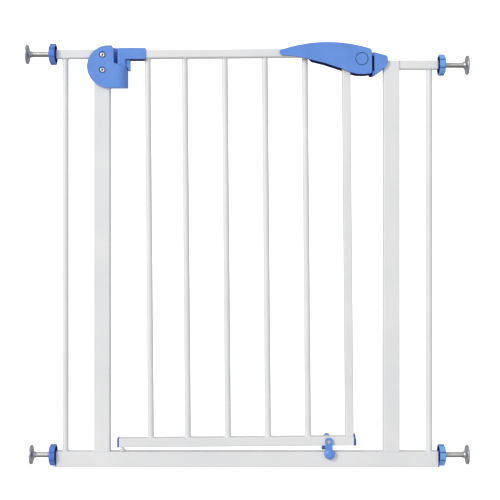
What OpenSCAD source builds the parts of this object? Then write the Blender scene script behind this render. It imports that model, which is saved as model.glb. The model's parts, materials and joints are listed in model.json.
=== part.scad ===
// Pressure-fit safety gate with a self-closing door, lift lever and four wall spindles.
// X runs along the gate, Y away from the side the door opens to, Z up.
// The origin is on the floor, under the middle of the gate.

/* [Frame] */
// Width of the steel frame without its spindles
frame_w = 714; // [700:1:730]
// Depth of the posts, the bottom rail and the door's tubes
tube_d = 20; // [20:0.5:22]
// Height of the bottom rail
base_h = 29; // [29:0.5:30]
// Face width of a post
post_w = 30; // [28:0.5:32]
// Distance from the middle of the gate to the middle of the left post
left_post_x = 272; // [271:0.5:273]
// Distance from the middle of the gate to the middle of the right post
right_post_x = 270; // [269.5:0.5:272]
// Height of the left post, inside the hinge housing
left_post_top = 780; // [778:1:782]
// Height of the right post
right_post_top = 761; // [760:0.5:762]
// Face height of the door's top rail, and depth of the short top rails
rail_h = 15; // [15:0.5:16]
// Face height of the short top rails
side_rail_h = 16.5; // [15:0.5:17]
// Diameter of the round bars
bar_d = 11.5; // [10:0.5:12]
// Wall of the square tubes
wall = 1.5; // [1.2:0.1:1.6]

/* [Door] */
// Lean of the door and its hinge line before the gate is pressed into a doorway, in degrees
door_lean = 0.5; // [0:0.1:0.6]
// Distance between the door's round bars
bar_pitch = 75.2; // [74:0.1:76]
// Number of round bars in the door
bar_count = 5; // [5:1:5]
// Height of the middle of the door's top rail
door_top_z = 773; // [772:0.5:774]
// Height of the middle of the door's bottom rail
door_base_z = 45.4; // [45:0.1:46]
// Face height of the door's bottom rail
foot_h = 17; // [16:0.5:17.5]
// Middle of the door's stile
stile_x = 185.6; // [185:0.1:186]

/* [Hinge] */
// Radius of the hinge housing's disc
disc_r = 39.3; // [39:0.1:40]
// Half the depth of the hinge housing, and the radius of its barrel
barrel_r = 17; // [17:0.1:17.2]
// Slope of the face cam that lifts the door as it opens, in degrees
cam_slope = 20; // [15:0.5:20]
// Gap between the two cam faces with the door shut
cam_gap = 0.4; // [0.3:0.1:1.2]

/* [Latch] */
// Radius of the release button
button_r = 11; // [10.5:0.1:11.2]
// Thickness of the lever's walls
shell_t = 2.4; // [2:0.1:2.6]
// Half the depth of the lever
lever_half = 16; // [15.8:0.1:16.4]

/* [Wall spindles] */
// Diameter of the threaded rods
rod_d = 10; // [9.5:0.1:10]
// Diameter of the wall plates
plate_d = 36; // [32:1:38]
// Diameter of the hand wheels
wheel_d = 40; // [36:1:41]
// Distance from the middle of the gate to a plate's wall face
plate_x = 415; // [410:1:420]
// The same for the lower left plate, whose rod is screwed in further
lower_left_x = 407.5; // [404:0.5:415]
// Height of the lower rods above the floor
lower_rod_z = 22; // [21.8:0.1:22.2]

/* [Hidden] */
$fn = 48;

run = 0.05;                             // radial clearance of a running fit
white = [0.87, 0.87, 0.88];
blue = [0.35, 0.5, 0.85];
deep_blue = [0.22, 0.36, 0.72];
steel = [0.6, 0.6, 0.63];
nylon = [0.9, 0.9, 0.88];

frame_end = frame_w / 2;
post_in = right_post_x - post_w / 2;    // face of the right post towards the door
side_bar_x = frame_end - 15.5;
left_rail_z = left_post_top - 6;
right_rail_z = right_post_top - 7.2;
half_d = tube_d / 2;

// The hinge line goes through this point, and leans with the door
pivot_x = -240.3;
pivot_z = 750;
hinge_y = -4;                           // it lies forward of the rails, so the door clears the housing
door_left = -246;
door_right = stile_x + rail_h / 2;
first_bar_x = -187.1;
last_bar_x = stile_x - 77.5;
stop_x = 146.3;
stud_r = 3.4;
pin_r = 2.4;
foot_bush_r = 4.4;

// Lever and latch, in the door's own upright frame
button_x = 214;
button_z = 759.2;
lever_arc_r = 268.7;
lever_arc_x = 147.9;
lever_peak_z = 791.1;
bolt_z = 745.8;
bolt_h = 9.6;
bolt_d = 10;
peg_drop = 16.5;                        // the lever's peg hangs this far under its pivot

// Steps shared by all four spindles
plug_l = 30;
plug_flange = 1.8;
wheel_gap = 0.6;
wheel_l = 11.5;
plate_t = 4.5;
rod_seat = 1.5;                         // the rod ends this far inside its plate's wall face
rod_l = 100.5;
lobes = 8;

// Puts a piece drawn in the door's upright frame where the leaning door holds it
module in_door() {
    translate([pivot_x, 0, pivot_z])
        rotate([0, -door_lean, 0])
            translate([-pivot_x, 0, -pivot_z])
                children();
}

// Moves a piece drawn about the Z axis on to the hinge line
module on_hinge(z) {
    in_door()
        translate([pivot_x, hinge_y, z])
            children();
}

// Box between two opposite corners
module block(low, high) {
    translate(low)
        cube(high - low);
}

// Cylinder along +Y from a point
module y_rod(at, r, l) {
    translate(at)
        rotate([-90, 0, 0])
            cylinder(r = r, h = l);
}

// Cylinder along +X from a point
module x_rod(at, r, l) {
    translate(at)
        rotate([0, 90, 0])
            cylinder(r = r, h = l);
}

// Outline in the XZ plane given a thickness from y1 to y2
module xz_plate(y1, y2) {
    translate([0, y2, 0])
        rotate([90, 0, 0])
            linear_extrude(height = y2 - y1)
                children();
}

// Rectangle with round corners, as exact arcs
module round_rect(w, h, r) {
    square([w - 2 * r, h], center = true);
    square([w, h - 2 * r], center = true);
    for (x = [-1, 1], y = [-1, 1])
        translate([x * (w / 2 - r), y * (h / 2 - r)])
            circle(r = r);
}

// Square tube along +Z
module tube(w, d, l, t = wall, r = 2) {
    linear_extrude(height = l)
        difference() {
            round_rect(w, d, r);
            round_rect(w - 2 * t, d - 2 * t, max(r - t, 0.4));
        }
}

// Square tube along +X, from x1 to x2 at height z
module x_tube(x1, x2, z, h, d, t = wall) {
    translate([x1, 0, z])
        rotate([90, 0, 90])
            tube(d, h, x2 - x1, t);
}

// Coil spring of round wire standing on +Z
module coil(r, wire_r, turns, length) {
    sides = 8;
    steps = 20;
    count = turns * steps;
    function centre(i) = [r * cos(360 * i / steps), r * sin(360 * i / steps), length * i / count];
    function ring(i) = [
        for (k = [0:sides - 1])
            centre(i) + wire_r * (cos(360 * k / sides) * [cos(360 * i / steps), sin(360 * i / steps), 0]
                + sin(360 * k / sides) * [0, 0, 1])
    ];
    points = [for (i = [0:count]) each ring(i)];
    skin = [
        for (i = [0:count - 1], k = [0:sides - 1])
            [i * sides + k, i * sides + (k + 1) % sides,
             (i + 1) * sides + (k + 1) % sides, (i + 1) * sides + k]
    ];
    start = [[for (k = [0:sides - 1]) sides - 1 - k]];
    end = [[for (k = [0:sides - 1]) count * sides + k]];
    polyhedron(points = points, faces = concat(skin, start, end), convexity = 8);
}

// --- Frame ---

module bottom_rail() {
    color(white)
        x_tube(-frame_end, frame_end, base_h / 2, base_h, tube_d);
}

module left_post() {
    color(white)
        difference() {
            translate([-left_post_x, 0, base_h])
                rotate([0, 0, 90])
                    tube(tube_d, post_w, left_post_top - base_h);
            for (z = housing_screw_z)
                y_rod([housing_screw_x, -half_d - 1, z], 2.3, tube_d + 2);
        }
}

module right_post() {
    color(white)
        difference() {
            translate([right_post_x, 0, base_h])
                rotate([0, 0, 90])
                    tube(tube_d, post_w, right_post_top - 1.5 - base_h);
            in_door()
                block([post_in - 4, -bolt_d / 2 - 1, bolt_z - bolt_h / 2 - 1.2],
                      [post_in + 6, bolt_d / 2 + 1, bolt_z + bolt_h / 2 + 1.2]);
        }
}

module right_post_cap() {
    color(white) {
        translate([right_post_x, 0, right_post_top - 1.5])
            linear_extrude(height = 1.5)
                round_rect(post_w, tube_d, 2);
        translate([right_post_x + 3, 0, right_post_top - 7.5])
            linear_extrude(height = 6)
                round_rect(post_w - 2 * wall - 7, tube_d - 2 * wall - 0.4, 0.5);
    }
}

module left_top_rail() {
    color(white)
        x_tube(-frame_end, -left_post_x - post_w / 2, left_rail_z, side_rail_h, rail_h, 1.2);
}

module right_top_rail() {
    color(white)
        x_tube(right_post_x + post_w / 2, frame_end, right_rail_z, side_rail_h, rail_h, 1.2);
}

module side_bar(x, top) {
    color(white)
        translate([x, 0, base_h])
            cylinder(d = bar_d, h = top - base_h);
}

module left_side_bar() {
    side_bar(-side_bar_x, left_rail_z - side_rail_h / 2);
}

module right_side_bar() {
    side_bar(side_bar_x, right_rail_z - side_rail_h / 2);
}

// Pin on the bottom rail that the foot of the door turns on
module lower_pivot_stud() {
    color(white)
        intersection() {
            on_hinge(base_h - 5)
                cylinder(r = stud_r, h = door_base_z + foot_h / 2 - wall - 1 - base_h + 5);
            block([pivot_x - 20, -20, base_h], [pivot_x + 30, 20, base_h + 50]);
        }
}

// --- Hinge housing ---

disc_x = -259.4;
disc_z = 748.8;
cam_z = 752.6;                          // height of the cam on the hinge line
housing_screw_x = -270;
housing_screw_z = [742.1, 770.6];
slot_x = 8.2;                           // the turning cap's slot, in front, left of the hinge line
front_recess_r = norm([slot_x, barrel_r + hinge_y]);
rear_recess_r = 17.5;
bush_r = 7;
bush_low = 714;
rear_step = 3.5;
cap_half = 12;
cap_left = 2.9;                         // the cap's end lies this far left of the hinge line

// Space over the cam: everything above a sloping plane that falls away from the post
module above_cam(offset_z) {
    translate([pivot_x, 0, cam_z + offset_z])
        rotate([0, cam_slope, 0])
            block([-60, -60, 0], [60, 60, 90]);
}

module housing_outline() {
    translate([disc_x, disc_z])
        circle(r = disc_r, $fn = 96);
    translate([disc_x, disc_z - disc_r])
        square([pivot_x + barrel_r - disc_x, 2 * disc_r]);
}

// Plan of the housing: flat faces that run into the barrel round the hinge line
module housing_plan() {
    translate([-320, -barrel_r])
        square([320 + pivot_x, 2 * barrel_r]);
    translate([pivot_x, 0])
        circle(r = barrel_r, $fn = 96);
}

module housing_solid() {
    difference() {
        intersection() {
            xz_plate(-barrel_r, barrel_r)
                housing_outline();
            translate([0, 0, 690])
                linear_extrude(height = 120)
                    housing_plan();
        }
        // room for the turning cap, over the cam
        intersection() {
            in_door()
                above_cam(0);
            union() {
                on_hinge(disc_z - disc_r)
                    cylinder(r = front_recess_r, h = 3 * disc_r);
                intersection() {
                    on_hinge(disc_z - disc_r)
                        cylinder(r = rear_recess_r, h = 3 * disc_r);
                    block([-320, hinge_y, 690], [-200, 40, 880]);
                }
                block([pivot_x - 0.5, -40, 690], [-200, 40, 880]);
            }
        }
        block([pivot_x - 2, -30, disc_z + disc_r / 2], [pivot_x + 40, 30, disc_z + 2 * disc_r]);
        // seat of the bush, and the pin's way through
        on_hinge(bush_low)
            cylinder(r = bush_r, h = 90);
        // post and top rail
        translate([-left_post_x, 0, disc_z - disc_r - 1])
            linear_extrude(height = left_post_top - disc_z + disc_r + 1)
                round_rect(post_w, tube_d, 2);
        block([-330, -rail_h / 2, left_rail_z - side_rail_h / 2],
              [-left_post_x, rail_h / 2, left_rail_z + side_rail_h / 2]);
        // screw holes, countersunk in front, with hexagon seats behind
        for (z = housing_screw_z) {
            y_rod([housing_screw_x, -barrel_r - 1, z], 2.3, 2 * barrel_r + 2);
            y_rod([housing_screw_x, -barrel_r - 1, z], 6.4, 3.6);
            translate([housing_screw_x, barrel_r - 3.4, z])
                rotate([-90, 0, 0])
                    cylinder(r = 4.7, h = 5, $fn = 6);
        }
    }
}

// The front shell has a cut corner beside the turning cap
module hinge_housing_front() {
    color(blue)
        difference() {
            intersection() {
                housing_solid();
                block([-320, -40, 690], [-200, 0, 800]);
            }
            xz_plate(-40, 1)
                polygon([[-252.8, disc_z + disc_r], [-252.8, 800], [-244, 800], [-244, 775.8]]);
        }
}

// The rear shell ends a little higher at its foot
module hinge_housing_rear() {
    color(blue)
        intersection() {
            housing_solid();
            xz_plate(0, 40)
                union() {
                    translate([disc_x, disc_z + rear_step / 2])
                        circle(r = disc_r - rear_step / 2, $fn = 96);
                    translate([disc_x, disc_z - disc_r + rear_step])
                        square([60, 2 * disc_r - rear_step]);
                }
        }
}

module housing_screws() {
    color(steel)
        for (z = housing_screw_z) {
            y_rod([housing_screw_x, -barrel_r + 0.3, z], 4.8, 2.2);
            y_rod([housing_screw_x, -barrel_r + 2.5, z], 2, 2 * barrel_r - 4);
        }
}

module housing_nuts() {
    color(steel)
        for (z = housing_screw_z)
            difference() {
                translate([housing_screw_x, barrel_r - 3.3, z])
                    rotate([-90, 0, 0])
                        cylinder(r = 4.4, h = 3, $fn = 6);
                y_rod([housing_screw_x, barrel_r - 5, z], 2.02, 8);
            }
}

// Plain bush in the housing that the door's upper pin turns and rises in
module hinge_bush() {
    color(nylon)
        on_hinge(bush_low)
            difference() {
                cylinder(r = bush_r, h = 32);
                translate([0, 0, 2])
                    cylinder(r = pin_r + run, h = 40);
            }
}

// Lined slot inside the right post that takes the bolt
module latch_keeper() {
    color(nylon)
        difference() {
            block([post_in + wall, -7.6, bolt_z - 6.4],
                  [post_in + wall + 4.5, 7.6, right_post_top - 2]);
            in_door()
                block([post_in - 4, -bolt_d / 2 - 0.5, bolt_z - bolt_h / 2 - 0.7],
                      [post_in + 12, bolt_d / 2 + 0.5, bolt_z + bolt_h / 2 + 0.7]);
        }
}

// --- Spindles: drawn for the right-hand end, mirrored for the left ---

module on_side(side) {
    mirror([side < 0 ? 1 : 0, 0, 0])
        children();
}

module rail_plug(side, rail_z, rail_height, rail_depth, t, rod_z) {
    color(deep_blue)
        on_side(side)
            difference() {
                union() {
                    translate([frame_end - plug_l, 0, rail_z])
                        rotate([90, 0, 90])
                            linear_extrude(height = plug_l)
                                round_rect(rail_depth - 2 * t, rail_height - 2 * t, 0.8);
                    translate([frame_end, 0, rail_z])
                        rotate([90, 0, 90])
                            linear_extrude(height = plug_flange)
                                round_rect(rail_depth, rail_height, 2);
                }
                x_rod([frame_end - plug_l - 1, 0, rod_z], rod_d / 2 + run, plug_l + 5);
            }
}

module plug_upper_left() {
    rail_plug(-1, left_rail_z, side_rail_h, rail_h, 1.2, left_rail_z);
}

module plug_upper_right() {
    rail_plug(1, right_rail_z, side_rail_h, rail_h, 1.2, right_rail_z);
}

module plug_lower_left() {
    rail_plug(-1, base_h / 2, base_h, tube_d, wall, lower_rod_z);
}

module plug_lower_right() {
    rail_plug(1, base_h / 2, base_h, tube_d, wall, lower_rod_z);
}

module spindle(side, z, x = plate_x) {
    color(steel)
        on_side(side)
            x_rod([x - rod_seat - rod_l, 0, z], rod_d / 2, rod_l);
}

module spindle_upper_left() {
    spindle(-1, left_rail_z);
}

module spindle_upper_right() {
    spindle(1, right_rail_z);
}

module spindle_lower_left() {
    spindle(-1, lower_rod_z, lower_left_x);
}

module spindle_lower_right() {
    spindle(1, lower_rod_z);
}

// Disc that presses on the wall, with a collar that flares into the rod
module wall_plate(side, z, x = plate_x) {
    r = plate_d / 2;
    collar_r = rod_d / 2 + 2;
    color(steel)
        on_side(side)
            translate([x, 0, z])
                rotate([0, -90, 0])
                    difference() {
                        rotate_extrude($fn = 64)
                            polygon([[0, 0], [r - 0.8, 0], [r, 0.8], [r, 3.2], [r - 0.8, 4],
                                     [collar_r + 3, plate_t], [collar_r + 1, plate_t + 1],
                                     [collar_r, plate_t + 2.2], [collar_r - 1.3, plate_t + 6],
                                     [0, plate_t + 6]]);
                        translate([0, 0, rod_seat])
                            cylinder(r = rod_d / 2, h = 20);
                    }
}

module wall_plate_upper_left() {
    wall_plate(-1, left_rail_z);
}

module wall_plate_upper_right() {
    wall_plate(1, right_rail_z);
}

module wall_plate_lower_left() {
    wall_plate(-1, lower_rod_z, lower_left_x);
}

module wall_plate_lower_right() {
    wall_plate(1, lower_rod_z);
}

// Lobed nut that pushes the spindle out; it is hollow round its hub towards the gate
module hand_wheel(side, z) {
    r = wheel_d / 2;
    face_t = 2;
    color(blue)
        on_side(side)
            translate([frame_end + plug_flange + wheel_gap, 0, z])
                rotate([0, 90, 0])
                    difference() {
                        union() {
                            linear_extrude(height = wheel_l - face_t)
                                difference() {
                                    circle(r = r);
                                    for (i = [0:lobes - 1])
                                        rotate(360 / lobes * (i + 0.5))
                                            translate([r + 0.9, 0])
                                                circle(r = 2);
                                }
                            translate([0, 0, wheel_l - face_t])
                                cylinder(r = r - 4, h = face_t);
                        }
                        translate([0, 0, -1])
                            difference() {
                                cylinder(r = r - 3.2, h = 7);
                                cylinder(r = r - 11.5, h = 8);
                            }
                        translate([0, 0, -1])
                            cylinder(r = rod_d / 2 + run, h = wheel_l + 2);
                    }
}

module hand_wheel_upper_left() {
    hand_wheel(-1, left_rail_z);
}

module hand_wheel_upper_right() {
    hand_wheel(1, right_rail_z);
}

module hand_wheel_lower_left() {
    hand_wheel(-1, lower_rod_z);
}

module hand_wheel_lower_right() {
    hand_wheel(1, lower_rod_z);
}

// --- Door ---

// Bearing washer on the stud, under the door
module pivot_washer() {
    color(nylon)
        on_hinge(base_h + 1)
            difference() {
                cylinder(r = 5.9, h = 2.5);
                translate([0, 0, -1])
                    cylinder(r = stud_r + run, h = 6);
            }
}

module door_top_rail() {
    color(white)
        in_door()
            difference() {
                x_tube(pivot_x + 9, door_right, door_top_z, rail_h, tube_d);
                y_rod([latch_screw_x, 0, door_top_z], 2.1, half_d + 1);
            }
}

module door_bottom_rail() {
    color(white)
        difference() {
            in_door()
                x_tube(door_left, door_right, door_base_z, foot_h, tube_d);
            on_hinge(door_base_z - foot_h)
                cylinder(r = foot_bush_r, h = foot_h);
            in_door()
                y_rod([stop_x, -half_d - 1, door_base_z], 2.6, tube_d + 2);
        }
}

door_tube_low = door_base_z + foot_h / 2;
door_tube_high = door_top_z - rail_h / 2;

module door_stile() {
    color(white)
        in_door()
            translate([stile_x, 0, door_tube_low])
                rotate([0, 0, 90])
                    tube(tube_d, rail_h, door_tube_high - door_tube_low);
}

// Round bar; the bars are counted from the hinge
module door_bar(i) {
    x = i == 1 ? first_bar_x : last_bar_x - (bar_count - i) * bar_pitch;
    color(white)
        in_door()
            translate([x, 0, door_tube_low])
                cylinder(d = bar_d, h = door_tube_high - door_tube_low);
}

module door_bar_1() {
    door_bar(1);
}

module door_bar_2() {
    door_bar(2);
}

module door_bar_3() {
    door_bar(3);
}

module door_bar_4() {
    door_bar(4);
}

module door_bar_5() {
    door_bar(5);
}

// End plugs of the door's bottom rail: a flange outside, and a short block inside the tube
plug_t = 3.6;

module plug_block(x, l) {
    translate([x, 0, door_base_z])
        rotate([90, 0, 90])
            linear_extrude(height = l)
                round_rect(tube_d - 2 * wall, foot_h - 2 * wall, 0.5);
}

module door_plug_left() {
    color(deep_blue)
        difference() {
            in_door() {
                translate([door_left - plug_t, 0, door_base_z])
                    rotate([90, 0, 90])
                        linear_extrude(height = plug_t)
                            round_rect(tube_d, foot_h, 2);
                plug_block(door_left, 2.5);
            }
            on_hinge(door_base_z - foot_h)
                cylinder(r = foot_bush_r, h = 2 * foot_h);
        }
}

// The right one stands up beside the stile and is thicker at its foot
module door_plug_right() {
    low = door_base_z - foot_h / 2;
    color(deep_blue)
        in_door() {
            xz_plate(-half_d, half_d)
                polygon([[door_right, low], [door_right + 4.6, low], [door_right + 5, low + 0.6],
                         [door_right + 4.8, low + 11], [door_right + 3.4, low + 15],
                         [door_right + 3.4, low + 19.4], [door_right + 2.8, low + 20.2],
                         [door_right, low + 20.2]]);
            plug_block(door_right - 8, 8);
        }
}

// Plan of the cap, with round corners towards the post
module cap_plan(half) {
    reach = 60;
    translate([pivot_x - cap_left + reach, 0, 700])
        linear_extrude(height = 100)
            round_rect(2 * reach, 2 * half, 4.5);
}

// Cap on the left end of the door's top rail, with the upper half of the face cam
module hinge_cap() {
    color(blue)
        in_door()
            difference() {
                union() {
                    // head over the rail, and the neck under it
                    intersection() {
                        cap_plan(cap_half);
                        union() {
                            xz_plate(-barrel_r, barrel_r)
                                polygon([[pivot_x - cap_left, 763], [pivot_x - cap_left, 782],
                                         [pivot_x - cap_left + 2, 784], [pivot_x + 30, 784],
                                         [pivot_x + 49.6, 783.5], [pivot_x + 50.8, 782.4],
                                         [pivot_x + 51, 764.2], [pivot_x + 49.8, 763]]);
                            intersection() {
                                translate([pivot_x, 0, 730])
                                    cylinder(r = barrel_r - 0.3, h = 35);
                                above_cam(cam_gap);
                            }
                        }
                    }
                    // stop plate outside the barrel, and its root
                    block([pivot_x + barrel_r + 0.4, -8, 743], [pivot_x + barrel_r + 3.6, 8, 764]);
                    block([pivot_x + 8, -8, 761], [pivot_x + barrel_r + 3.6, 8, 764]);
                    intersection() {
                        block([pivot_x, -8, 730], [pivot_x + barrel_r + 0.6, 8, 764]);
                        above_cam(cam_gap);
                    }
                }
                // socket of the rail, the end of the first bar, and the pin's hole
                translate([pivot_x + 9, 0, door_top_z])
                    rotate([90, 0, 90])
                        linear_extrude(height = 60)
                            round_rect(tube_d, rail_h, 2);
                translate([first_bar_x, 0, 700])
                    cylinder(d = bar_d + 0.6, h = door_top_z - 700);
                translate([pivot_x, hinge_y, 700])
                    cylinder(r = pin_r, h = 76);
                // drain hole on the cam
                y_rod([pivot_x + 2.1, -cap_half - 1, 752], 1.3, 7);
            }
}

module hinge_pin() {
    color(steel)
        on_hinge(717)
            cylinder(r = pin_r, h = 59);
}

module door_pivot_bush() {
    color(nylon)
        on_hinge(door_base_z - foot_h / 2)
            difference() {
                cylinder(r = foot_bush_r, h = foot_h - wall);
                translate([0, 0, -1])
                    cylinder(r = stud_r + run, h = foot_h + 1);
            }
}

// --- Latch ---

latch_screw_x = 168;
core_left = door_right;
nose_left = 237;
nose_back = 12;
core_top = 768;
core_low = 734.6;
ring_in = 12;
ring_out = 14.4;
ring_deep = 3;
cheek_in = lever_half - shell_t;

// Nose of the latch as seen from the front
module nose_outline() {
    polygon([[nose_left, 771.4], [258.6, 765.3], [261.7, 763], [262.8, 756.1],
             [261.2, 749.2], [256, 742.2], [nose_left, 729.2]]);
}

module latch_body() {
    color(blue)
        in_door()
            difference() {
                union() {
                    // core inside the lever
                    block([core_left, -half_d, core_low], [nose_left, half_d, core_top]);
                    // plug in the end of the top rail
                    translate([latch_screw_x - 8, 0, door_top_z])
                        rotate([90, 0, 90])
                            linear_extrude(height = core_left - latch_screw_x + 8)
                                round_rect(tube_d - 2 * wall, rail_h - 2 * wall, 0.5);
                    block([core_left, -half_d, core_top - 1], [core_left + 6, half_d, door_top_z + 2.5]);
                    // nose, and its cheek in front of the post
                    intersection() {
                        xz_plate(-lever_half, nose_back)
                            nose_outline();
                        union() {
                            block([200, -40, 700], [post_in - 1.7, 40, 800]);
                            block([200, -40, 700], [300, -half_d - 0.5, 800]);
                        }
                    }
                    // lips over and under the dark gap
                    block([233.6, -cheek_in + 0.4, 764.8], [nose_left, cheek_in - 0.4, 771.4]);
                    block([233.6, -cheek_in + 0.4, 729.2], [nose_left, cheek_in - 0.4, 736.7]);
                    block([228.4, -5, 727.6], [233.5, 5, core_low + 1]);
                }
                // channel of the bolt and its spring
                block([199, -bolt_d / 2 - 0.4, bolt_z - bolt_h / 2 - 0.4],
                      [300, bolt_d / 2 + 0.4, bolt_z + bolt_h / 2 + 0.4]);
                // groove that the lever's ring turns in
                difference() {
                    y_rod([button_x, -half_d - 1, button_z], ring_out + run, ring_deep + 1);
                    y_rod([button_x, -half_d - 2, button_z], ring_in - 0.4, ring_deep + 3);
                }
                // window of the lever's peg
                block([button_x - 9, -half_d - 1, button_z - peg_drop - 2.6],
                      [button_x + 3.2, -bolt_d / 2, button_z - peg_drop + 4]);
                // holes of the pin, the screw and the button's spring
                y_rod([button_x, -2, button_z], 3, 20);
                y_rod([latch_screw_x, -4, door_top_z], 1.8, 20);
                y_rod([button_x, -half_d - 1, button_z], 4.6, 5);
            }
}

module latch_screw() {
    color(steel)
        in_door() {
            y_rod([latch_screw_x, -4, door_top_z], 1.8, half_d + 4);
            y_rod([latch_screw_x, half_d, door_top_z], 3.6, 1.8);
        }
}

module lever_pin() {
    color(steel)
        in_door() {
            y_rod([button_x, -2, button_z], 3, lever_half + 2);
            y_rod([button_x, lever_half + 0.3, button_z], 4.6, 1);
            y_rod([button_x, lever_half - 0.2, button_z], 3, 0.8);
        }
}

// Return spring of the lever, wound on its pin behind the core
module lever_spring() {
    color(steel)
        in_door()
            translate([button_x, half_d + 0.6, button_z])
                rotate([-90, 0, 0])
                    coil(4.2, 0.45, 2, 2);
}

module bolt_spring() {
    color(steel)
        in_door()
            translate([199.5, 0, bolt_z])
                rotate([0, 90, 0])
                    coil(3.6, 0.4, 4, 7);
}

module button_spring() {
    color(steel)
        in_door()
            translate([button_x, -half_d - 3, button_z])
                rotate([-90, 0, 0])
                    coil(3.6, 0.35, 4, 6);
}

// Undersides of the lever's two cheeks; the rear one is shorter
front_cheek = [[60.8, 771], [62.5, 768.4], [70.9, 766.8], [91.6, 764.3], [112.5, 760], [145.7, 751.5],
    [177, 740.9], [193.6, 733.8], [204, 731.1], [216.5, 730.4], [230.5, 731.6]];
rear_cheek = [[60.8, 771], [62.5, 769.4], [80, 768.2], [113.5, 766], [117.5, 762.5], [121, 758.8],
    [145.7, 752.4], [177, 741.8], [193.6, 734.7], [204, 732], [216.5, 731.3], [230.5, 732.5]];

// Lever as seen from the front, over the underside of one cheek
module lever_outline(underside) {
    intersection() {
        translate([lever_arc_x, lever_peak_z - lever_arc_r])
            circle(r = lever_arc_r, $fn = 240);
        polygon(concat([[60.8, 800]], underside,
                       [[232.7, 736], [232.7, 774.1], [231.5, 777], [229, 778.6], [229, 800]]));
    }
}

module lever_cavity() {
    block([40, -cheek_in, 700], [196, cheek_in, door_top_z + rail_h / 2 + 0.5]);
    block([195, -cheek_in, 700], [226, cheek_in, 775.5]);
    block([225, -cheek_in, 700], [250, cheek_in, 800]);
}

module lever_front_shell() {
    color(blue)
        in_door()
            difference() {
                union() {
                    difference() {
                        xz_plate(-lever_half, 0)
                            lever_outline(front_cheek);
                        lever_cavity();
                    }
                    // ring bearing, and the peg that draws the bolt
                    y_rod([button_x, -cheek_in - 1, button_z],
                          ring_out, cheek_in + 1 - half_d + ring_deep - 0.4);
                    y_rod([button_x, -cheek_in - 1, button_z - peg_drop], 1.8, cheek_in + 1 - 1.5);
                }
                y_rod([button_x, -lever_half - 1, button_z], ring_in, lever_half);
            }
}

module lever_rear_shell() {
    color(blue)
        in_door()
            difference() {
                xz_plate(0, lever_half)
                    lever_outline(rear_cheek);
                lever_cavity();
                y_rod([button_x, 0, button_z], 3 + run, 30);
            }
}

module release_button() {
    color(blue)
        in_door() {
            y_rod([button_x, -lever_half - 0.6, button_z], button_r - 0.8, 0.6);
            y_rod([button_x, -lever_half, button_z], button_r, 2.7);
        }
}

module latch_bolt() {
    color(steel)
        in_door()
            difference() {
                block([207, -bolt_d / 2, bolt_z - bolt_h / 2], [261.6, bolt_d / 2, bolt_z + bolt_h / 2]);
                // slot of the lever's peg
                block([button_x - 2.2, -bolt_d / 2 - 1, bolt_z - bolt_h],
                      [button_x + 2.2, 0, button_z - peg_drop + 3.2]);
                // slope that rides over the post as the door shuts
                translate([261.6, bolt_d / 2, bolt_z - bolt_h])
                    rotate([0, 0, 30])
                        block([-4, -12, 0], [8, 20, 2 * bolt_h]);
            }
}

// --- Two-way stops on the door's bottom rail ---

stop_gap = 0.4;
stop_t = 5;
boss_r = 7.2;
arm_half = 6.7;
ball_t = 11;
stop_head_r = 3.3;

// Domed thumb end of a stop lever, drawn towards +Y from the rail's face
module stop_ball(x, z, r) {
    face = half_d + stop_gap;
    intersection() {
        y_rod([x, face, z], r, ball_t);
        translate([x, face - 2, z])
            sphere(r = ball_t + 2.5, $fn = 64);
    }
}

// Hole of the bolt, and the seat of its head
module stop_hole() {
    y_rod([stop_x, half_d - 1, door_base_z], 2.5 + run, 30);
    y_rod([stop_x, half_d + stop_gap + stop_t - 1.2, door_base_z], stop_head_r + 0.3, 12);
}

// The front one hangs over the frame's bottom rail and keeps the door from going back through it
module stop_lever_front() {
    face = half_d + stop_gap;
    low = door_base_z - 22.8;
    color(blue)
        in_door()
            mirror([0, 1, 0])
                difference() {
                    union() {
                        y_rod([stop_x, face, door_base_z], boss_r, stop_t);
                        block([stop_x - arm_half, face, low],
                              [stop_x + arm_half, face + stop_t, door_base_z]);
                        stop_ball(stop_x + 0.8, low, 9.9);
                    }
                    stop_hole();
                }
}

// The rear one ends flat just above that rail; turned a little either way it reaches down behind it
module stop_lever_rear() {
    face = half_d + stop_gap;
    low = door_base_z - 16.8;
    color(blue)
        in_door()
            difference() {
                union() {
                    y_rod([stop_x, face, door_base_z], boss_r, stop_t);
                    y_rod([stop_x - 2.1, face, door_base_z + 4.2], boss_r, stop_t);
                    block([stop_x - arm_half - 1.8, face, low],
                          [stop_x + arm_half - 2, face + stop_t, door_base_z]);
                    stop_ball(stop_x - 2.6, low, 9.6);
                }
                stop_hole();
                block([stop_x - 20, 0, 0], [stop_x + 20, 40, door_base_z - 19.4]);
            }
}

module stop_bolt() {
    end = half_d + stop_gap + stop_t;
    color(steel)
        in_door() {
            y_rod([stop_x, -end - 0.4, door_base_z], stop_head_r, 1.4);
            y_rod([stop_x, -end + 1, door_base_z], 2.5, 2 * end - 1.2);
        }
}

module stop_nut() {
    end = half_d + stop_gap + stop_t;
    color(steel)
        in_door()
            difference() {
                y_rod([stop_x, end - 1, door_base_z], stop_head_r, 2.2);
                y_rod([stop_x, end - 2, door_base_z], 2.5 + run, 2);
            }
}

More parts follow.
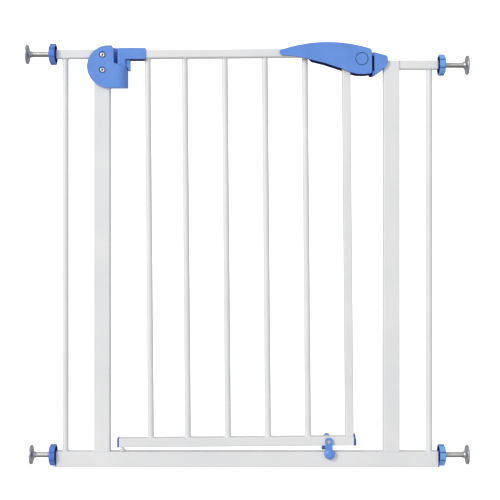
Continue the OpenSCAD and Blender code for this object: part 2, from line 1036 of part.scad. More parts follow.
bottom_rail();
left_post();
right_post();
left_top_rail();
right_top_rail();
left_side_bar();
right_side_bar();
right_post_cap();
lower_pivot_stud();
hinge_housing_front();
hinge_housing_rear();
housing_screws();
housing_nuts();
hinge_bush();
latch_keeper();
plug_upper_left();
plug_upper_right();
plug_lower_left();
plug_lower_right();
spindle_upper_left();
spindle_upper_right();
spindle_lower_left();
spindle_lower_right();
wall_plate_upper_left();
wall_plate_upper_right();
wall_plate_lower_left();
wall_plate_lower_right();
hand_wheel_upper_left();
hand_wheel_upper_right();
hand_wheel_lower_left();
hand_wheel_lower_right();
pivot_washer();
door_top_rail();
door_bottom_rail();
door_stile();
door_bar_1();
door_bar_2();
door_bar_3();
door_bar_4();
door_bar_5();
door_plug_left();
door_plug_right();
hinge_cap();
hinge_pin();
door_pivot_bush();
latch_body();
latch_screw();
lever_pin();
lever_spring();
bolt_spring();
button_spring();
stop_bolt();
stop_nut();
lever_front_shell();
lever_rear_shell();
release_button();
latch_bolt();
stop_lever_front();
stop_lever_rear();
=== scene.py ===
"""Looks of the safety gate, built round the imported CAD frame. Metres, Z up, the door opens towards -Y."""
import json
import math

import bmesh
import bpy
from mathutils import Matrix, Vector

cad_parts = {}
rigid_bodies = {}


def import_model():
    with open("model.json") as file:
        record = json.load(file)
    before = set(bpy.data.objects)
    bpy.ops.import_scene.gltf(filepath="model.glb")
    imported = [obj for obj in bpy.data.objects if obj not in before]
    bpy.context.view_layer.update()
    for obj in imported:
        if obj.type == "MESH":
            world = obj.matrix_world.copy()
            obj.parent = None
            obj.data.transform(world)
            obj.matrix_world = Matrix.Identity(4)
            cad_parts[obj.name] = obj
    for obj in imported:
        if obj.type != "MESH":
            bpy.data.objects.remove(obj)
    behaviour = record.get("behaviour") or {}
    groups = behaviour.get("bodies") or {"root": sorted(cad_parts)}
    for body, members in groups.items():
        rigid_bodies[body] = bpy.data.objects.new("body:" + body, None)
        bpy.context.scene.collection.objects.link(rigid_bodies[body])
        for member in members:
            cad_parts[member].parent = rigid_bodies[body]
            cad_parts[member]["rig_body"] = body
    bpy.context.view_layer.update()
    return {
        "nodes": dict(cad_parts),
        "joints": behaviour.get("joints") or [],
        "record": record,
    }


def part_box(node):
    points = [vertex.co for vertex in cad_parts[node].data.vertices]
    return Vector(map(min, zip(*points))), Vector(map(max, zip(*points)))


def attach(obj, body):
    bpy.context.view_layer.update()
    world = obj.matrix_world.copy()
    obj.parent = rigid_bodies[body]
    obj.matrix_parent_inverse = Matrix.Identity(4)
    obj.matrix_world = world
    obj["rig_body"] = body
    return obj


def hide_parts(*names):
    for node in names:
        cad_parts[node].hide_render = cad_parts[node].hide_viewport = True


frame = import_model()
nodes = frame["nodes"]
joints = {j["name"]: j for j in frame["joints"]}

ENDS = ("upper_left", "upper_right", "lower_left", "lower_right")
BARS = ["door_bar_%d" % i for i in range(1, 6)]

# The door leans with its hinge line. DOOR takes a point from the door's upright frame to its place.
PIVOT = Vector((-0.2403, 0.0, 0.750))
hinge_up = -Vector(joints["door_swing"]["axis"])
LEAN = math.atan2(-hinge_up.x, hinge_up.z)
DOOR = Matrix.Translation(PIVOT) @ Matrix.Rotation(-LEAN, 4, "Y") @ Matrix.Translation(-PIVOT)
UPRIGHT = Matrix.Identity(4)

# Sizes that the CAD nodes were drawn with, in metres; places in the door are (x, z) in its upright frame
STILE_W = 0.015
SCREW_HEAD_R = 0.0048
SCREW_WELL_R = 0.0066
SCREW_HEAD_H = 0.0022
DRAIN_PLACE, DRAIN_R, DRAIN_DEEPEST_Y = (-0.2382, 0.752), 0.0014, -0.0119
LEVER_PLACE, LEVER_BORE_R = (0.214, 0.7592), 0.01205
LEVER_CHEEK_IN = 0.01375
CORE_END_X, GAP_END_X, GAP_LOW_Z, GAP_HIGH_Z = 0.2335, 0.2372, 0.7366, 0.7650
ROD_R, THREAD_PITCH, THREAD_CUT = 0.005, 0.0015, 0.0002
HUB_R, HOLLOW_DEEP, RIM_T = 0.0082, 0.0065, 0.0030
WELD_SIZE, BEAD_SIZE = 0.0026, 0.0018


# ---------------------------------------------------------------- materials

class Shader:
    """A small builder of node materials whose patterns are in the object's own coordinates."""

    def __init__(self, name):
        self.material = bpy.data.materials.new(name)
        self.material.use_nodes = True
        self.tree = self.material.node_tree
        self.surface = self.tree.nodes["Principled BSDF"]
        self.place = self.tree.nodes.new("ShaderNodeTexCoord").outputs["Object"]

    def node(self, kind, **values):
        made = self.tree.nodes.new(kind)
        for key, value in values.items():
            setattr(made, key, value)
        return made

    def link(self, a, b):
        self.tree.links.new(a, b)

    def noise(self, scale, detail):
        made = self.node("ShaderNodeTexNoise")
        made.inputs["Scale"].default_value = scale
        made.inputs["Detail"].default_value = detail
        self.link(self.place, made.inputs["Vector"])
        return made.outputs["Fac"]

    def ramp(self, fac, low, high, start=0.3, end=0.7):
        """A colour that goes from low to high as fac goes from start to end."""
        made = self.node("ShaderNodeValToRGB")
        made.color_ramp.elements[0].position = start
        made.color_ramp.elements[1].position = end
        made.color_ramp.elements[0].color = (*low, 1)
        made.color_ramp.elements[1].color = (*high, 1)
        self.link(fac, made.inputs["Fac"])
        return made.outputs["Color"]

    def span(self, fac, low, high, start=0.3, end=0.7):
        """A number that goes from low to high as fac goes from start to end."""
        made = self.node("ShaderNodeMapRange")
        for key, value in (("From Min", start), ("From Max", end), ("To Min", low), ("To Max", high)):
            made.inputs[key].default_value = value
        self.link(fac, made.inputs["Value"])
        return made.outputs["Result"]

    def mix(self, fac, a, b):
        made = self.node("ShaderNodeMix", data_type="RGBA")
        self.link(fac, made.inputs["Factor"])
        for value, socket in ((a, made.inputs["A"]), (b, made.inputs["B"])):
            if isinstance(value, tuple):
                socket.default_value = (*value, 1)
            else:
                self.link(value, socket)
        return made.outputs["Result"]

    def edges(self, start=0.52, end=0.6, reach=0.0008):
        """0 on flats, rising to 1 along sharp outer edges, no further from them than reach."""
        geometry = self.node("ShaderNodeNewGeometry")
        rounded = self.node("ShaderNodeBevel", samples=4)
        rounded.inputs["Radius"].default_value = reach
        turn = self.node("ShaderNodeVectorMath", operation="DOT_PRODUCT")
        self.link(rounded.outputs["Normal"], turn.inputs[0])
        self.link(geometry.outputs["Normal"], turn.inputs[1])
        near = self.span(turn.outputs["Value"], 1.0, 0.0, 0.94, 0.997)
        outer = self.span(geometry.outputs["Pointiness"], 0.0, 1.0, start, end)
        both = self.node("ShaderNodeMath", operation="MULTIPLY")
        self.link(near, both.inputs[0])
        self.link(outer, both.inputs[1])
        return both.outputs["Value"]

    def bump(self, *layers):
        """Stacks bumps: each layer is (height socket, strength, depth in metres)."""
        normal = None
        for height, strength, depth in layers:
            made = self.node("ShaderNodeBump")
            made.inputs["Strength"].default_value = strength
            made.inputs["Distance"].default_value = depth
            self.link(height, made.inputs["Height"])
            if normal:
                self.link(normal, made.inputs["Normal"])
            normal = made.outputs["Normal"]
        self.link(normal, self.surface.inputs["Normal"])

    def set(self, **values):
        for key, value in values.items():
            self.surface.inputs[key.replace("_", " ")].default_value = value


def powder_coat():
    """White powder coat: orange peel, faint cloudiness and a painted highlight that lightens its sharp
    outer edges.
    """
    s = Shader("white_powder_coat")
    cloud = s.ramp(s.noise(9, 4), (0.735, 0.74, 0.75), (0.80, 0.80, 0.805))
    speck = s.span(s.noise(900, 2), 0.0, 1.0, 0.70, 0.78)
    specked = s.mix(speck, cloud, (0.69, 0.69, 0.70))
    # Painted highlight: the colour turns lighter along sharp outer edges.
    edge_highlit = s.mix(s.edges(0.56, 0.70), specked, (0.84, 0.84, 0.845))
    s.link(edge_highlit, s.surface.inputs["Base Color"])
    s.link(s.span(s.noise(60, 3), 0.34, 0.46), s.surface.inputs["Roughness"])
    s.bump((s.noise(420, 2), 0.22, 0.00025), (s.noise(1600, 2), 0.12, 0.0001))
    s.set(Specular_IOR_Level=0.5, Coat_Weight=0.12, Coat_Roughness=0.25)
    return s.material


def moulded_blue(name, low, high, rough=(0.30, 0.42), coat=0.15, shine=0.5):
    """Moulded plastic: fine spark texture, slow colour drift, and painted shade that darkens its sharp
    outer edges.
    """
    s = Shader(name)
    drift = s.ramp(s.noise(22, 4), low, high)
    # Painted shade: the colour turns darker along sharp outer edges.
    edge = tuple(c * 0.5 for c in high)
    s.link(s.mix(s.edges(0.53, 0.60, 0.0012), drift, edge), s.surface.inputs["Base Color"])
    s.link(s.span(s.noise(120, 4), *rough), s.surface.inputs["Roughness"])
    s.bump((s.noise(2400, 2), 0.22, 0.00008), (s.noise(70, 2), 0.10, 0.0004))
    s.set(Specular_IOR_Level=shine, Coat_Weight=coat, Coat_Roughness=0.3, Subsurface_Weight=0.04,
          Subsurface_Scale=0.002)
    return s.material


def zinc_plate(name, low, high, rough=(0.26, 0.42), underside_shade=0.0):
    """Plated steel: soft mottling, fine turned grain, duller patches and painted shade on the surfaces that
    face down.
    """
    s = Shader(name)
    tone = s.ramp(s.noise(160, 5), low, high)
    dull = s.span(s.noise(55, 4), 0.0, 0.6, 0.5, 0.75)
    tone = s.mix(dull, tone, tuple(c * 0.8 for c in low))
    # Painted shade: the more a face turns downwards, the darker its colour.
    if underside_shade:
        way = s.node("ShaderNodeSeparateXYZ")
        s.link(s.node("ShaderNodeNewGeometry").outputs["Normal"], way.inputs["Vector"])
        tone = s.mix(s.span(way.outputs["Z"], underside_shade, 0.0, -0.85, -0.1), tone, tuple(c * 0.2 for c in low))
    s.link(tone, s.surface.inputs["Base Color"])
    s.link(s.span(s.noise(300, 4), *rough), s.surface.inputs["Roughness"])
    s.bump((s.noise(900, 3), 0.25, 0.00006))
    s.set(Metallic=1.0)
    return s.material


def soft_nylon():
    """Natural nylon: faint clouding and a fine moulded grain."""
    s = Shader("natural_nylon")
    s.link(s.ramp(s.noise(80, 3), (0.70, 0.69, 0.66), (0.78, 0.77, 0.74)), s.surface.inputs["Base Color"])
    s.link(s.span(s.noise(200, 3), 0.4, 0.55), s.surface.inputs["Roughness"])
    s.bump((s.noise(1800, 2), 0.15, 0.00006))
    s.set(Subsurface_Weight=0.1, Subsurface_Scale=0.002)
    return s.material


WHITE = powder_coat()
BLUE = moulded_blue("blue_plastic", (0.100, 0.250, 0.70), (0.128, 0.295, 0.76))
# Shaded and lit copies of the hand wheels' one plastic: painted shade for the left wheels, painted light
# for the right.
SHADED_WHEEL_BLUE = moulded_blue("shaded_wheel_plastic", (0.065, 0.18, 0.64), (0.09, 0.22, 0.72), (0.26, 0.36), 0.3)
LIT_WHEEL_BLUE = moulded_blue("lit_wheel_plastic", (0.13, 0.33, 0.76), (0.17, 0.39, 0.82), (0.26, 0.36), 0.3)
# Darker blue for painted shade in the grooves between the wheels' lobes.
GROOVE_SHADE = moulded_blue("groove_shade_plastic", (0.045, 0.12, 0.46), (0.06, 0.15, 0.52), (0.36, 0.46), 0.0)
DEEP_BLUE = moulded_blue("deep_blue_plastic", (0.035, 0.085, 0.36), (0.05, 0.11, 0.42), (0.4, 0.52), 0.0)
# Near-black blue for painted shade in hollows, wells, gaps and undersides.
SHADE_NAVY = moulded_blue("shade_navy_plastic", (0.008, 0.018, 0.13), (0.014, 0.030, 0.18), (0.55, 0.70), 0.0, 0.12)
ZINC = zinc_plate("zinc_plate", (0.42, 0.42, 0.445), (0.53, 0.53, 0.555), (0.32, 0.46), underside_shade=0.4)
THREAD = zinc_plate("thread_steel", (0.56, 0.55, 0.53), (0.64, 0.63, 0.61), (0.40, 0.50), underside_shade=1.0)
SCREW = zinc_plate("bright_screw", (0.66, 0.65, 0.64), (0.80, 0.79, 0.78), (0.18, 0.30))
# Near-black steel for painted shade in the screws' hex sockets.
SOCKET_SHADE = zinc_plate("socket_shade_steel", (0.05, 0.05, 0.055), (0.10, 0.10, 0.105), (0.4, 0.6))
WIRE = zinc_plate("spring_wire", (0.30, 0.30, 0.31), (0.42, 0.42, 0.43))
NYLON = soft_nylon()

FINISH = {"white_steel": WHITE, "blue_plastic": BLUE, "deep_blue_plastic": DEEP_BLUE,
          "zinc_steel": ZINC, "spring_steel": WIRE, "white_nylon": NYLON}


# ---------------------------------------------------------------- mesh helpers

def paint(obj, material):
    obj.data.materials.clear()
    obj.data.materials.append(material)
    return obj


def new_piece(name, mesh, material, body, place=UPRIGHT, smooth=40):
    """Makes an object from a mesh drawn in metres, puts it in place and lets it ride on a body."""
    mesh.transform(place)
    mesh.update()
    obj = bpy.data.objects.new(name, mesh)
    bpy.context.scene.collection.objects.link(obj)
    paint(obj, material)
    mesh.polygons.foreach_set("use_smooth", [True] * len(mesh.polygons))
    mesh.set_sharp_from_angle(angle=math.radians(smooth))
    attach(obj, body)
    return obj


def repaint(obj, material, wanted):
    """Gives a second finish to the faces whose centre and normal, in the place frame, are wanted."""
    obj.data.materials.append(material)
    index = len(obj.data.materials) - 1
    for face in obj.data.polygons:
        if wanted(face.center, face.normal):
            face.material_index = index
    return obj


def baked(obj):
    """Applies an object's modifiers to its mesh."""
    graph = bpy.context.evaluated_depsgraph_get()
    mesh = bpy.data.meshes.new_from_object(obj.evaluated_get(graph))
    obj.modifiers.clear()
    obj.data = mesh
    return obj


def weigh_edges(mesh, width, angle):
    """Gives each edge sharper than angle a bevel weight that its neighbours leave room for."""
    bm = bmesh.new()
    bm.from_mesh(mesh)
    weight = bm.edges.layers.float.new("bevel_weight_edge")
    room = {v: min((e.calc_length() for e in v.link_edges), default=0.0) for v in bm.verts}
    for edge in bm.edges:
        if len(edge.link_faces) == 2 and edge.calc_face_angle(0.0) > angle:
            edge[weight] = min(1.0, min(room[v] for v in edge.verts) / (2.2 * width))
    bm.to_mesh(mesh)
    bm.free()


def softened(node, material, width, segments=3):
    """A copy of a CAD node whose outer edges are rounded as a mould or a press leaves them."""
    source = nodes[node]
    mesh = source.data.copy()
    mesh.materials.clear()
    if mesh.has_custom_normals:
        mesh.attributes.remove(mesh.attributes["custom_normal"])
    obj = bpy.data.objects.new(node + "_skin", mesh)
    bpy.context.scene.collection.objects.link(obj)
    weld = obj.modifiers.new("weld", "WELD")
    weld.merge_threshold = 0.00001
    planar = obj.modifiers.new("planar", "DECIMATE")
    planar.decimate_type = "DISSOLVE"
    planar.angle_limit = math.radians(0.2)
    baked(obj)
    weigh_edges(obj.data, width, math.radians(30))
    bevel = obj.modifiers.new("bevel", "BEVEL")
    bevel.limit_method = "WEIGHT"
    bevel.width = width
    bevel.segments = segments
    bevel.miter_outer = "MITER_ARC"
    bevel.use_clamp_overlap = True
    baked(obj)
    obj.data.polygons.foreach_set("use_smooth", [True] * len(obj.data.polygons))
    obj.data.set_sharp_from_angle(angle=math.radians(50))
    even = obj.modifiers.new("even", "WEIGHTED_NORMAL")
    even.mode = "FACE_AREA"
    even.weight = 100
    even.keep_sharp = True
    baked(obj)
    paint(obj, material)
    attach(obj, source["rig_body"])
    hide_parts(node)
    return obj


def lathe_mesh(name, profile, sides):
    """Turns a closed outline of (radius, height) points about Z."""
    bm = bmesh.new()
    rings = []
    for r, z in profile:
        turns = [2 * math.pi * i / sides for i in range(sides)]
        rings.append([bm.verts.new((r * math.cos(a), r * math.sin(a), z)) for a in turns])
    for a, b in zip(rings, rings[1:] + rings[:1]):
        for i in range(sides):
            j = (i + 1) % sides
            bm.faces.new((a[i], a[j], b[j], b[i]))
    bmesh.ops.recalc_face_normals(bm, faces=bm.faces)
    mesh = bpy.data.meshes.new(name)
    bm.to_mesh(mesh)
    bm.free()
    return mesh


def turned_mesh(name, profile, sides=48, flats=6):
    """A solid turned from (radius, height, sided) points about Z; sided rings follow a hexagon."""
    bm = bmesh.new()
    rings = []
    for r, z, sided in profile:
        ring = []
        for i in range(sides):
            a = 2 * math.pi * i / sides
            off = (a + math.pi / flats) % (2 * math.pi / flats) - math.pi / flats
            k = math.cos(math.pi / flats) / math.cos(off) if sided else 1.0
            ring.append(bm.verts.new((r * k * math.cos(a), r * k * math.sin(a), z)))
        rings.append(ring)
    for a, b in zip(rings, rings[1:]):
        for i in range(sides):
            j = (i + 1) % sides
            bm.faces.new((a[i], a[j], b[j], b[i]))
    bm.faces.new(rings[0])
    bm.faces.new(rings[-1])
    bmesh.ops.recalc_face_normals(bm, faces=bm.faces)
    mesh = bpy.data.meshes.new(name)
    bm.to_mesh(mesh)
    bm.free()
    return mesh


def joined(name, meshes):
    """One mesh out of several."""
    bm = bmesh.new()
    for mesh in meshes:
        bm.from_mesh(mesh)
        bpy.data.meshes.remove(mesh)
    made = bpy.data.meshes.new(name)
    bm.to_mesh(made)
    bm.free()
    return made


def facing(direction, at):
    """Matrix that stands a piece drawn along +Z on a point, along a direction."""
    return Matrix.Translation(at) @ Vector(direction).to_track_quat("Z", "Y").to_matrix().to_4x4()


# ---------------------------------------------------------------- white steel

def paint_cad():
    """Gives every carried-over CAD node its finish."""
    for part in frame["record"]["subparts"]:
        paint(nodes[part["node"]], FINISH[part["material_slot"]])


def fillet_profile(r, size, steps=5):
    """Concave weld bead round a bar of radius r, standing on z = 0."""
    points = [(r - 0.0003, 0.0), (r + size, 0.0)]
    for i in range(steps + 1):
        a = math.radians(90 * i / steps)
        points.append((r + size - size * math.sin(a), 0.0001 + size * (1 - math.cos(a))))
    points.append((r - 0.0003, size + 0.0001))
    return points


def bar_welds(node, body, place):
    """The bead at each end of a round bar, where it meets its rails."""
    low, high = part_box(node)
    middle = place.inverted() @ Vector(((low.x + high.x) / 2, 0, (low.z + high.z) / 2))
    radius = (high.y - low.y) / 2
    lean = LEAN if place is DOOR else 0.0
    half = ((high.z - low.z) / 2 - abs(math.sin(lean)) * radius) / math.cos(lean)
    for tag, z, turn in (("foot", middle.z - half, 1), ("head", middle.z + half, -1)):
        mesh = lathe_mesh(node + tag, fillet_profile(radius, WELD_SIZE), 40)
        new_piece(f"weld_{node}_{tag}", mesh, WHITE, body,
                  place @ facing((0, 0, turn), Vector((middle.x, 0, z))), smooth=60)


# ---------------------------------------------------------------- wall spindles

def thread_mesh(name, radius, depth, pitch, length, sides=28, per_turn=6):
    """A rod along +Z with a cut thread, chamfered at its ends."""
    bm = bmesh.new()
    rows = int(length / pitch * per_turn)
    rings = []
    for k in range(rows + 1):
        z = length * k / rows
        ring = []
        for i in range(sides):
            a = 2 * math.pi * i / sides
            phase = (z / pitch - i / sides) % 1.0
            cut = depth * max(0.0, 1 - abs(phase - 0.5) / 0.42)
            chamfer = max(0.0, 0.0009 - min(z, length - z))
            r = radius - max(cut, chamfer)
            ring.append(bm.verts.new((r * math.cos(a), r * math.sin(a), z)))
        rings.append(ring)
    for a, b in zip(rings, rings[1:]):
        for i in range(sides):
            j = (i + 1) % sides
            bm.faces.new((a[i], a[j], b[j], b[i]))
    bm.faces.new(list(reversed(rings[0])))
    bm.faces.new(rings[-1])
    bmesh.ops.recalc_face_normals(bm, faces=bm.faces)
    mesh = bpy.data.meshes.new(name)
    bm.to_mesh(mesh)
    bm.free()
    return mesh


def spindle(end):
    """Threaded rod and its flared wall plate, which is turned from (radius, height off the wall) points."""
    out = 1 if end.endswith("right") else -1
    low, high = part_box("spindle_" + end)
    z = (low.z + high.z) / 2
    length = high.x - low.x
    inner = low.x if out > 0 else high.x
    mesh = thread_mesh("rod", ROD_R, THREAD_CUT, THREAD_PITCH, length)
    rod = new_piece("threaded_rod_" + end, mesh, THREAD, "spindle_" + end,
                    facing((out, 0, 0), (inner, 0, z)), smooth=50)
    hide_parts("spindle_" + end)
    plate_low, plate_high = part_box("wall_plate_" + end)
    wall_x = plate_high.x if out > 0 else plate_low.x
    r = (plate_high.z - plate_low.z) / 2
    back = [(0.0045, 0.0018), (0.0045, 0.0), (r - 0.0009, 0.0)]
    rim = [(r - 0.0002, 0.0003), (r, 0.0009), (r, 0.0031), (r - 0.0003, 0.0037), (r - 0.0010, 0.0040)]
    flare = [(0.0140, 0.0043), (0.0110, 0.0044), (0.0092, 0.0048), (0.0078, 0.0056), (0.0067, 0.0070)]
    neck = [(0.0060, 0.0086), (0.0056, 0.0102), (0.0047, 0.0105), (0.0047, 0.0018)]
    profile = back + rim + flare + neck
    plate = new_piece("plate_" + end, lathe_mesh("plate", profile, 72), ZINC,
                      "spindle_" + end, facing((-out, 0, 0), (wall_x, 0, z)), smooth=50)
    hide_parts("wall_plate_" + end)


def hand_wheel(end):
    """Lobed wheel; painted shade darkens its hollow side and the grooves between its lobes, and the left
    and right wheels take shaded and lit copies of one plastic.
    """
    out = 1 if end.endswith("right") else -1
    low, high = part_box("hand_wheel_" + end)
    inner = low.x if out > 0 else high.x
    z = (low.z + high.z) / 2
    r = (high.z - low.z) / 2
    # The right wheels take the painted-light copy, the left the painted-shade copy.
    wheel = softened("hand_wheel_" + end, LIT_WHEEL_BLUE if out > 0 else SHADED_WHEEL_BLUE, 0.0008)

    # Painted shade on the floor and walls of the wheel's hollow side.
    def shaded_hollow(c, n):
        deep = out * (c.x - inner)
        from_axis = math.hypot(c.y, c.z - z)
        on_floor = deep > HOLLOW_DEEP - 0.001
        return deep < HOLLOW_DEEP and HUB_R < from_axis < r - RIM_T and (on_floor or abs(n.x) < 0.5)

    # Painted shade in the grooves between the lobes.
    def groove_shade(c, n):
        deep = out * (c.x - inner)
        from_axis = math.hypot(c.y, c.z - z)
        return abs(n.x) < 0.3 and 0.0005 < deep < 0.0095 and r - 0.0015 < from_axis < r - 0.0005

    repaint(wheel, SHADE_NAVY, shaded_hollow)
    repaint(wheel, GROOVE_SHADE, groove_shade)


# ---------------------------------------------------------------- hinge and latch

def screw_axes():
    """The (x, z) of each housing screw."""
    low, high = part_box("housing_screws")
    x = (low.x + high.x) / 2
    return [(x, low.z + SCREW_HEAD_R), (x, high.z - SCREW_HEAD_R)]


def off_axis(point, axes):
    """Distance from a point to the nearest of some axes along Y, each given as (x, z)."""
    return min(math.hypot(point.x - x, point.z - z) for x, z in axes)


def hinge():
    """Housing shells and the turning cap; painted shade darkens the screw wells, the cap's undersides and
    its drain hole.
    """
    axes = screw_axes()

    # Painted shade on the walls of the screw wells.
    def well_shade(c, n):
        return off_axis(c, axes) < SCREW_WELL_R and abs(n.y) < 0.5
    for node in ("hinge_housing_front", "hinge_housing_rear"):
        repaint(softened(node, BLUE, 0.0012), SHADE_NAVY, well_shade)
    inverse = DOOR.inverted()

    # Painted shade on the cap's downward faces and inside its drain hole.
    def shaded_underside_or_drain(c, n):
        at = inverse @ c
        return n.z < -0.6 or (off_axis(at, [DRAIN_PLACE]) < DRAIN_R and at.y > DRAIN_DEEPEST_Y)
    repaint(softened("hinge_cap", BLUE, 0.0010), SHADE_NAVY, shaded_underside_or_drain)


def latch():
    """Lever shells and latch body, with painted shade inside the lever's hollow, its bore and undersides,
    and in the gap at its end.
    """
    inverse = DOOR.inverted()
    turn = inverse.to_3x3()
    for node in ("lever_front_shell", "lever_rear_shell"):
        shell = softened(node, BLUE, 0.0010)

        # Painted shade inside the lever's hollow and bore and on its downward faces.
        def shaded_inside(c, n):
            at, way = inverse @ c, turn @ n
            shaded_hollow = abs(at.y) < LEVER_CHEEK_IN and way.z < 0.3 and way.x < 0.5
            bore = off_axis(at, [LEVER_PLACE]) < LEVER_BORE_R and abs(way.y) < 0.5
            return shaded_hollow or bore or way.z < -0.6
        repaint(shell, SHADE_NAVY, shaded_inside)
    body = softened("latch_body", BLUE, 0.0010)

    # Painted shade on the latch body's core inside the lever and in the gap at the lever's end.
    def gap_shade(c, n):
        at = inverse @ c
        return at.x < CORE_END_X or (at.x < GAP_END_X and GAP_LOW_Z < at.z < GAP_HIGH_Z)
    repaint(body, SHADE_NAVY, gap_shade)


# ---------------------------------------------------------------- screws and weld beads

def screw_profile(head_r, head_h, shank_r, length, socket_r, socket_deep):
    """Domed head with a hexagon socket, looking along -Z; the head's underside is at z = 0."""
    return [(socket_r * 0.15, head_h - socket_deep - 0.0002, False), (socket_r, head_h - socket_deep, True),
            (socket_r, head_h - 0.00015, True), (socket_r + 0.0003, head_h, False),
            (head_r * 0.72, head_h - 0.0001, False), (head_r - 0.0006, head_h - 0.0004, False),
            (head_r - 0.0001, head_h - 0.0009, False), (head_r, head_h - 0.0013, False),
            (head_r, 0.0002, False), (head_r - 0.0002, 0.0, False), (shank_r, 0.0, False),
            (shank_r, -length + 0.0004, False), (shank_r - 0.0004, -length, False)]


def housing_screws():
    """The two screws of the hinge housing, in their counterbores."""
    front_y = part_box("housing_screws")[0].y
    socket_r = 0.0019
    axes = screw_axes()
    meshes = []
    for x, z in axes:
        profile = screw_profile(head_r=0.00475, head_h=SCREW_HEAD_H, shank_r=0.002, length=0.0305,
                                socket_r=socket_r, socket_deep=0.0018)
        mesh = turned_mesh("screw", profile)
        mesh.transform(facing((0, -1, 0), (x, front_y + SCREW_HEAD_H, z)))
        meshes.append(mesh)
    pair = joined("housing_screw_pair", meshes)
    screws = new_piece("housing_screw_pair", pair, SCREW, "frame", smooth=35)
    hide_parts("housing_screws")

    # Painted shade: the faces inside each hex socket.
    def socket(c, n):
        return 0.0001 < c.y - front_y < SCREW_HEAD_H and off_axis(c, axes) < socket_r * 1.1

    repaint(screws, SOCKET_SHADE, socket)


def bead_mesh(name, length, size, steps=6):
    """Concave weld bead along Y in the corner between +X and +Z, thinner at its ends."""
    bm = bmesh.new()
    rows = []
    count = 14
    for k in range(count + 1):
        t = k / count
        grow = size * (0.45 + 0.55 * min(1.0, 6 * t, 6 * (1 - t)))
        y = length * (t - 0.5)
        ripple = 1 + 0.05 * math.sin(19 * t * math.pi)
        row = [bm.verts.new((-0.0003, y, -0.0003))]
        for i in range(steps + 1):
            a = math.radians(90 * i / steps)
            g = grow * ripple
            row.append(bm.verts.new((g - g * math.sin(a), y, g - g * math.cos(a))))
        rows.append(row)
    for a, b in zip(rows, rows[1:]):
        for i in range(len(a)):
            j = (i + 1) % len(a)
            bm.faces.new((a[i], a[j], b[j], b[i]))
    bm.faces.new(list(reversed(rows[0])))
    bm.faces.new(rows[-1])
    bmesh.ops.recalc_face_normals(bm, faces=bm.faces)
    mesh = bpy.data.meshes.new(name)
    bm.to_mesh(mesh)
    bm.free()
    return mesh


def bead(name, body, place, x, z, sx, sz, length=0.0165):
    """A bead in the corner at (x, z) whose legs point to sx along X and sz along Z."""
    mesh = bead_mesh("bead", length, BEAD_SIZE)
    mesh.transform(Matrix.Diagonal((sx, 1, sz, 1)))
    if sx * sz < 0:
        mesh.flip_normals()
    new_piece("weld_" + name, mesh, WHITE, body,
              place @ Matrix.Translation((x, 0, z)), smooth=60)


def tube_welds():
    """Beads where the square tubes meet."""
    rail_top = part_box("bottom_rail")[1].z
    for side in ("left", "right"):
        low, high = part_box(side + "_post")
        bead(side + "_post_foot_a", "frame", UPRIGHT, low.x, rail_top, -1, 1)
        bead(side + "_post_foot_b", "frame", UPRIGHT, high.x, rail_top, 1, 1)
    low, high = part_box("right_top_rail")
    bead("right_rail_end", "frame", UPRIGHT, low.x, low.z, 1, -1, 0.012)
    low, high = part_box("door_stile")
    length = (high.z - low.z - STILE_W * math.sin(LEAN)) / math.cos(LEAN)
    mid = DOOR.inverted() @ ((low + high) / 2)
    bead("stile_foot", "door", DOOR, mid.x - STILE_W / 2, mid.z - length / 2, -1, 1)


# ---------------------------------------------------------------- build

paint_cad()
paint(nodes["stop_bolt"], SCREW)
for bar in BARS:
    bar_welds(bar, "door", DOOR)
for side in ("left", "right"):
    bar_welds(side + "_side_bar", "frame", UPRIGHT)
tube_welds()
housing_screws()
for end in ENDS:
    spindle(end)
    hand_wheel(end)
hinge()
latch()
softened("release_button", BLUE, 0.0008)
for node in ("stop_lever_front", "stop_lever_rear"):
    softened(node, BLUE, 0.0016, segments=4)


# ---------------------------------------------------------------- stage, light and camera

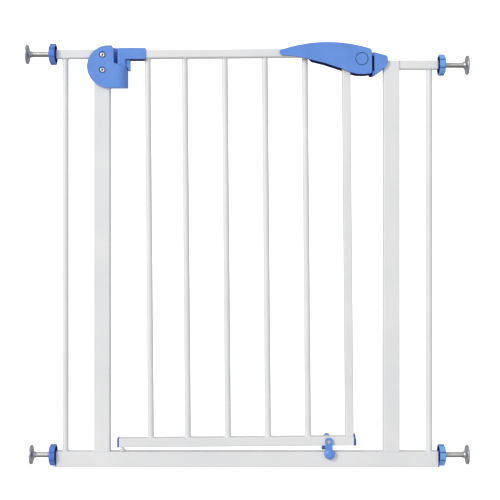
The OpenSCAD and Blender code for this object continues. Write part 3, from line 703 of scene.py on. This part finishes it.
def stage_set():
    """Pale floor that sweeps up into a backdrop."""
    bm = bmesh.new()
    profile = [(-6.0, 0.0), (2.2, 0.0)]
    profile += [(2.2 + 1.2 * math.sin(a), 1.2 - 1.2 * math.cos(a))
                for a in [math.radians(9 * i) for i in range(1, 11)]]
    profile.append((3.4, 6.0))
    rows = [[bm.verts.new((x, y, z)) for x in (-8, 8)] for y, z in profile]
    for a, b in zip(rows, rows[1:]):
        bm.faces.new((a[0], a[1], b[1], b[0]))
    mesh = bpy.data.meshes.new("floor")
    bm.to_mesh(mesh)
    bm.free()
    floor = bpy.data.objects.new("studio_floor", mesh)
    bpy.context.scene.collection.objects.link(floor)
    mesh.polygons.foreach_set("use_smooth", [True] * len(mesh.polygons))
    material = bpy.data.materials.new("studio_paper")
    material.use_nodes = True
    shader = material.node_tree.nodes["Principled BSDF"]
    shader.inputs["Base Color"].default_value = (0.95, 0.95, 0.95, 1)
    shader.inputs["Roughness"].default_value = 0.9
    shader.inputs["Emission Color"].default_value = (1.0, 1.0, 1.0, 1)
    shader.inputs["Emission Strength"].default_value = 0.6
    mesh.materials.append(material)
    floor.visible_diffuse = False
    floor.visible_glossy = False


def area_light(name, at, target, size, power):
    data = bpy.data.lights.new(name, "AREA")
    data.shape = "RECTANGLE"
    data.size, data.size_y = size
    data.energy = power
    light = bpy.data.objects.new(name, data)
    bpy.context.scene.collection.objects.link(light)
    light.location = at
    light.rotation_euler = (Vector(target) - Vector(at)).to_track_quat("-Z", "Y").to_euler()


def studio_light():
    """A room brighter towards the front left and above, and one large soft light on that side."""
    world = bpy.data.worlds.new("studio")
    bpy.context.scene.world = world
    world.use_nodes = True
    tree = world.node_tree
    place = tree.nodes.new("ShaderNodeTexCoord")
    toward = tree.nodes.new("ShaderNodeVectorMath")
    toward.operation = "DOT_PRODUCT"
    toward.inputs[1].default_value = Vector((-0.35, -0.85, 0.30)).normalized()
    level = tree.nodes.new("ShaderNodeMapRange")
    for key, value in (("From Min", -1.0), ("From Max", 1.0), ("To Min", 0.46), ("To Max", 0.77)):
        level.inputs[key].default_value = value
    tree.links.new(place.outputs["Generated"], toward.inputs[0])
    tree.links.new(toward.outputs["Value"], level.inputs["Value"])
    tree.links.new(level.outputs["Result"], tree.nodes["Background"].inputs["Strength"])
    tree.nodes["Background"].inputs["Color"].default_value = (1.0, 1.0, 1.0, 1)
    middle = (0, 0, 0.4)
    area_light("key", (-5.6, -6.4, 4.2), middle, (2.6, 2.6), 385)


def camera():
    """The view of a gate stood square to the lens at half its height."""
    data = bpy.data.cameras.new("camera")
    data.sensor_width = 36
    data.lens = 75.6
    data.clip_start, data.clip_end = 0.05, 50
    view = bpy.data.objects.new("camera", data)
    bpy.context.scene.collection.objects.link(view)
    view.location = (0.0051, -1.973, 0.4065)
    view.rotation_euler = (math.radians(90), 0, 0)
    bpy.context.scene.camera = view


stage_set()
studio_light()
camera()
bpy.context.scene.view_settings.view_transform = "Standard"
